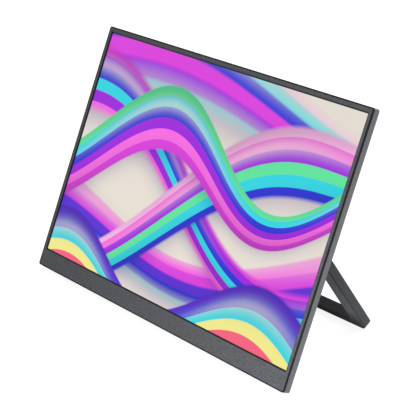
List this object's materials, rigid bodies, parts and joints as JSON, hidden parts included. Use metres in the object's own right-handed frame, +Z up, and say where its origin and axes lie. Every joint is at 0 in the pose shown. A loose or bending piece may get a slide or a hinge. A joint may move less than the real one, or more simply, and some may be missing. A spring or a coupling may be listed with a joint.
{
  "type": "portable monitor",
  "caption": "Slim portable monitor with a deep chin, leaning on a U-shaped folding stand that wraps round a raised rear housing.",
  "frame": {"origin": "on the desk, under the middle of the object's width and depth", "axes": "+X to the viewer's right, +Y from the screen towards the back, +Z up"},
  "size_m": [0.3556, 0.1289, 0.2125],
  "materials": {
    "bezel_plastic": "fine-grained matte dark grey",
    "gasket_rubber": "matte black",
    "cover_shell": "satin mid grey",
    "housing_plastic": "fine-grained matte dark grey",
    "foot_rubber": "matte black",
    "screen_glass": "low-glare glass",
    "film": "translucent white",
    "acrylic": "clear",
    "board_white": "white board",
    "sheet_steel": "plain sheet",
    "board_green": "circuit board",
    "foam": "closed-cell foam",
    "flat_cable": "amber film",
    "brass": "turned",
    "socket_steel": "formed sheet",
    "black_plastic": "matte black",
    "button_plastic": "satin dark grey",
    "hinge_steel": "turned and pressed",
    "screw_steel": "blackened",
    "stand_paint": "satin dark grey"
  },
  "bodies": {
    "display": {"front_bezel": "bezel_plastic", "seam_gasket": "gasket_rubber", "rear_cover": "cover_shell", "rear_housing": "housing_plastic", "base_pads": "foot_rubber", "lcd_glass": "screen_glass", "optical_films": "film", "light_guide": "acrylic", "led_strip": "board_white", "panel_chassis": "sheet_steel", "driver_strip": "board_green", "foam_strips": "foam", "panel_cable": "flat_cable", "vesa_inserts": "brass", "main_board": "board_green", "usb_c_port_lower": "socket_steel", "usb_c_port_upper": "socket_steel", "mini_hdmi_port": "socket_steel", "audio_jack": "black_plastic", "speaker_left": "black_plastic", "speaker_right": "black_plastic", "button_board": "board_green", "hinge_bracket_right": "hinge_steel", "hinge_bracket_left": "hinge_steel", "friction_washers_right": "hinge_steel", "friction_washers_left": "hinge_steel", "housing_screws": "screw_steel", "board_screws": "screw_steel", "hinge_screws": "screw_steel"},
    "stand": {"stand_frame": "stand_paint", "foot_strip": "foot_rubber", "hinge_shaft_right": "hinge_steel", "hinge_shaft_left": "hinge_steel", "lock_nut_right": "hinge_steel", "lock_nut_left": "hinge_steel"},
    "power_button": {"power_button": "button_plastic"},
    "menu_button": {"menu_button": "button_plastic"},
    "plus_button": {"plus_button": "button_plastic"},
    "minus_button": {"minus_button": "button_plastic"}
  },
  "joints": [
    {"name": "stand_fold", "type": "hinge", "parent": "display", "child": "stand", "pos_m": [0, 0.00502, 0.10437], "axis": [1, 0, 0], "range_deg": [-57.59, 32.41]},
    {"name": "power_press", "type": "slide", "parent": "display", "child": "power_button", "axis": [-1, 0, 0], "range_m": [0, 0.0005], "stiffness_N_per_m": 2000},
    {"name": "menu_press", "type": "slide", "parent": "display", "child": "menu_button", "axis": [-1, 0, 0], "range_m": [0, 0.0005], "stiffness_N_per_m": 2000},
    {"name": "plus_press", "type": "slide", "parent": "display", "child": "plus_button", "axis": [-1, 0, 0], "range_m": [0, 0.0005], "stiffness_N_per_m": 2000},
    {"name": "minus_press", "type": "slide", "parent": "display", "child": "minus_button", "axis": [-1, 0, 0], "range_m": [0, 0.0005], "stiffness_N_per_m": 2000}
  ]
}
